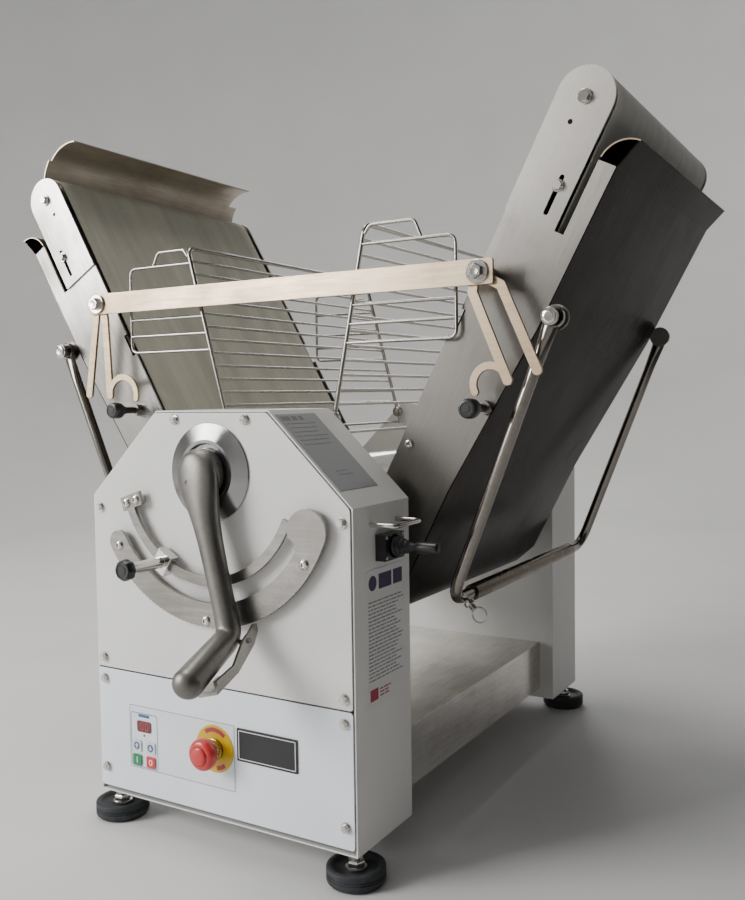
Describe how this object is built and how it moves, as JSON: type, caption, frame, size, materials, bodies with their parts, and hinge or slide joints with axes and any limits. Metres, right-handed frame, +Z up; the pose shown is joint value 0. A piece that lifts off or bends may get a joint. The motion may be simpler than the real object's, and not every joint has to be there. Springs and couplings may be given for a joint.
{
  "type": "dough sheeter",
  "caption": "Tabletop dough sheeter with two folding conveyor tables, sheeting rollers between cabinets, thickness lever on an index sector, wire guards and support tubes.",
  "frame": {"origin": "centre of the folded machine's box, on the surface that the feet stand on", "axes": "+X to the right along the front, +Y from the front cover to the rear cabinet, +Z up"},
  "size_m": [0.999, 0.9117, 0.9737],
  "materials": {
    "white_paint": "satin powder coat",
    "stainless": "brushed, with handling marks",
    "polished_pan": "bright rolled sheet",
    "bright_steel": "polished",
    "polished_hub": "turned and polished",
    "cast_lever": "satin casting",
    "tube_steel": "polished tube",
    "foot_rubber": "moulded rubber",
    "black_plastic": "moulded",
    "label_grey": "printed film",
    "display_red": "tinted window",
    "disc_yellow": "gloss",
    "collar_brass": "knurled",
    "button_red": "gloss",
    "key_blue": "membrane key",
    "key_green": "membrane key",
    "machine_iron": "painted casting",
    "drum_rubber": "rubber covered drum",
    "belt_pale": "coated conveyor belt",
    "belt_grey": "coated conveyor belt",
    "tray_taupe": "satin sheet"
  },
  "bodies": {
    "frame": {"front_cabinet": "white_paint", "front_cover": "white_paint", "control_panel": "white_paint", "rear_cabinet": "white_paint", "rear_cover": "white_paint", "base_channel": "stainless", "cover_bolts": "bright_steel", "foot_studs": "bright_steel", "foot_pads": "foot_rubber", "hub_flange": "polished_hub", "index_sector": "stainless", "sector_fixings": "bright_steel", "label_plates": "label_grey", "display_window": "display_red", "brand_plate": "black_plastic", "estop_disc": "disc_yellow", "estop_collar": "collar_brass", "side_handle": "bright_steel", "joystick_housing": "black_plastic", "bearing_blocks": "machine_iron", "scrapers": "stainless", "drive_motor": "machine_iron", "pivot_pins": "bright_steel"},
    "lever": {"lever": "cast_lever", "lever_shaft": "bright_steel"},
    "trigger": {"trigger": "stainless"},
    "stop_clamp": {"stop_clamp": "stainless"},
    "stop_knob": {"stop_knob": "black_plastic"},
    "estop_button": {"estop_button": "button_red"},
    "button_up": {"button_up": "key_blue"},
    "button_down": {"button_down": "key_blue"},
    "button_start": {"button_start": "key_green"},
    "button_stop": {"button_stop": "button_red"},
    "joystick": {"joystick": "black_plastic"},
    "carriage": {"roller_carriage": "machine_iron"},
    "upper_roller": {"upper_roller": "bright_steel"},
    "lower_roller": {"lower_roller": "bright_steel"},
    "table_right": {"table_plates_right": "stainless", "table_pan_right": "polished_pan", "belt_right": "belt_pale"},
    "table_left": {"table_plates_left": "stainless", "table_pan_left": "polished_pan", "belt_left": "belt_grey", "bar_pin": "bright_steel"},
    "drive_roller_right": {"drive_roller_right": "drum_rubber"},
    "drive_roller_left": {"drive_roller_left": "drum_rubber"},
    "nose_roller_right": {"nose_roller_right": "bright_steel"},
    "nose_roller_left": {"nose_roller_left": "bright_steel"},
    "support_right": {"support_right": "tube_steel"},
    "support_left": {"support_left": "tube_steel"},
    "knob_right": {"table_knob_right": "black_plastic"},
    "knob_left": {"table_knob_left": "black_plastic"},
    "guard_right": {"guard_right": "bright_steel"},
    "guard_left": {"guard_left": "bright_steel"},
    "link": {"link_bar": "stainless", "bar_bolt": "bright_steel"},
    "hook_right": {"hook_right": "stainless"},
    "hook_left": {"hook_left": "stainless"},
    "end_tray": {"end_tray": "tray_taupe"},
    "lanyard_pin": {"lanyard_pin": "bright_steel"}
  },
  "joints": [
    {"name": "lever_swing", "type": "hinge", "parent": "frame", "child": "lever", "pos_m": [0.012, -0.3205, 0.477], "axis": [0, 1, 0], "range_deg": [-27, 33]},
    {"name": "trigger_squeeze", "type": "hinge", "parent": "lever", "child": "trigger", "pos_m": [0.06732, -0.3485, 0.27753], "axis": [-0.9636, 0, -0.2672], "range_deg": [0, 4.5], "stiffness_Nm_per_rad": 0.6, "springref_deg": -4.58},
    {"name": "stop_clamp_travel", "type": "hinge", "parent": "frame", "child": "stop_clamp", "pos_m": [0.012, -0.3325, 0.477], "axis": [0, 1, 0], "range_deg": [-25, 28]},
    {"name": "stop_knob_turn", "type": "hinge", "parent": "stop_clamp", "child": "stop_knob", "pos_m": [-0.0565, -0.3975, 0.363], "axis": [0, 1, 0], "range_deg": [-90, 90]},
    {"name": "estop_press", "type": "slide", "parent": "frame", "child": "estop_button", "axis": [0, 1, 0], "range_m": [0, 0.004]},
    {"name": "button_up_press", "type": "slide", "parent": "frame", "child": "button_up", "axis": [0, 1, 0], "range_m": [0, 0.0008], "stiffness_N_per_m": 200},
    {"name": "button_down_press", "type": "slide", "parent": "frame", "child": "button_down", "axis": [0, 1, 0], "range_m": [0, 0.0008], "stiffness_N_per_m": 200},
    {"name": "button_start_press", "type": "slide", "parent": "frame", "child": "button_start", "axis": [0, 1, 0], "range_m": [0, 0.0008], "stiffness_N_per_m": 200},
    {"name": "button_stop_press", "type": "slide", "parent": "frame", "child": "button_stop", "axis": [0, 1, 0], "range_m": [0, 0.0008], "stiffness_N_per_m": 200},
    {"name": "joystick_tilt", "type": "hinge", "parent": "frame", "child": "joystick", "pos_m": [0.226, -0.2485, 0.391], "axis": [0, 0, 1], "range_deg": [-8, 8], "stiffness_Nm_per_rad": 0.3},
    {"name": "carriage_lift", "type": "slide", "parent": "frame", "child": "carriage", "axis": [0, 0, 1], "range_m": [-0.0145, 0.0175]},
    {"name": "upper_roller_spin", "type": "hinge", "parent": "carriage", "child": "upper_roller", "pos_m": [0.012, 0, 0.439], "axis": [0, 1, 0], "continuous": true},
    {"name": "lower_roller_spin", "type": "hinge", "parent": "frame", "child": "lower_roller", "pos_m": [0.012, 0, 0.339], "axis": [0, 1, 0], "continuous": true},
    {"name": "table_right_fold", "type": "hinge", "parent": "frame", "child": "table_right", "pos_m": [0.164, 0, 0.321], "axis": [0, 1, 0], "range_deg": [0, 62.5]},
    {"name": "table_left_fold", "type": "hinge", "parent": "frame", "child": "table_left", "pos_m": [-0.14, 0, 0.321], "axis": [0, 1, 0], "range_deg": [-60, 0]},
    {"name": "drive_roller_right_spin", "type": "hinge", "parent": "table_right", "child": "drive_roller_right", "pos_m": [0.15464, 0, 0.35067], "axis": [0, 1, 0], "continuous": true},
    {"name": "drive_roller_left_spin", "type": "hinge", "parent": "table_left", "child": "drive_roller_left", "pos_m": [-0.13195, 0, 0.35105], "axis": [0, 1, 0], "continuous": true},
    {"name": "nose_roller_right_spin", "type": "hinge", "parent": "table_right", "child": "nose_roller_right", "pos_m": [0.43908, 0, 0.89707], "axis": [0, 1, 0], "continuous": true},
    {"name": "nose_roller_left_spin", "type": "hinge", "parent": "table_left", "child": "nose_roller_left", "pos_m": [-0.43995, 0, 0.88452], "axis": [0, 1, 0], "continuous": true},
    {"name": "support_right_swing", "type": "hinge", "parent": "table_right", "child": "support_right", "pos_m": [0.40338, 0, 0.65523], "axis": [0, 1, 0], "range_deg": [-35, 0]},
    {"name": "support_left_swing", "type": "hinge", "parent": "table_left", "child": "support_left", "pos_m": [-0.39373, 0, 0.64447], "axis": [0, 1, 0], "range_deg": [0, 35]},
    {"name": "knob_right_pull", "type": "slide", "parent": "table_right", "child": "knob_right", "axis": [0, -1, 0], "range_m": [0, 0.012], "stiffness_N_per_m": 400, "springref_m": -0.003},
    {"name": "knob_left_pull", "type": "slide", "parent": "table_left", "child": "knob_left", "axis": [0, -1, 0], "range_m": [0, 0.012], "stiffness_N_per_m": 400, "springref_m": -0.003},
    {"name": "guard_right_swing", "type": "hinge", "parent": "frame", "child": "guard_right", "pos_m": [0.102, 0, 0.539], "axis": [0, 1, 0], "range_deg": [0, 77]},
    {"name": "guard_left_swing", "type": "hinge", "parent": "frame", "child": "guard_left", "pos_m": [-0.078, 0, 0.539], "axis": [0, 1, 0], "range_deg": [-75, 0]},
    {"name": "link_lift", "type": "hinge", "parent": "table_left", "child": "link", "pos_m": [-0.2967, -0.2035, 0.71], "axis": [0, 1, 0], "range_deg": [-70, 0]},
    {"name": "hook_right_swing", "type": "hinge", "parent": "link", "child": "hook_right", "pos_m": [0.3207, -0.199, 0.71], "axis": [0, 1, 0], "range_deg": [-20, 5]},
    {"name": "hook_left_swing", "type": "hinge", "parent": "table_left", "child": "hook_left", "pos_m": [-0.2967, -0.199, 0.71], "axis": [0, 1, 0], "range_deg": [-4, 4]},
    {"name": "tray_swing", "type": "hinge", "parent": "table_left", "child": "end_tray", "pos_m": [-0.43995, 0, 0.88452], "axis": [0, 1, 0], "range_deg": [-90, 0]},
    {"name": "lanyard_pull", "type": "slide", "parent": "support_right", "child": "lanyard_pin", "axis": [0.7071, 0, -0.7071], "range_m": [0, 0.014]}
  ],
  "couplings": [
    {"joint": "carriage_lift", "follows": "lever_swing", "m_per_rad": 0.03},
    {"joint": "upper_roller_spin", "follows": "lower_roller_spin", "ratio": -1},
    {"joint": "guard_right_swing", "follows": "table_right_fold", "ratio": 1.232},
    {"joint": "guard_left_swing", "follows": "table_left_fold", "ratio": 1.25},
    {"joint": "drive_roller_right_spin", "follows": "lower_roller_spin", "ratio": 1.25},
    {"joint": "nose_roller_right_spin", "follows": "lower_roller_spin", "ratio": 1.25},
    {"joint": "drive_roller_left_spin", "follows": "lower_roller_spin", "ratio": 1.25},
    {"joint": "nose_roller_left_spin", "follows": "lower_roller_spin", "ratio": 1.25}
  ]
}
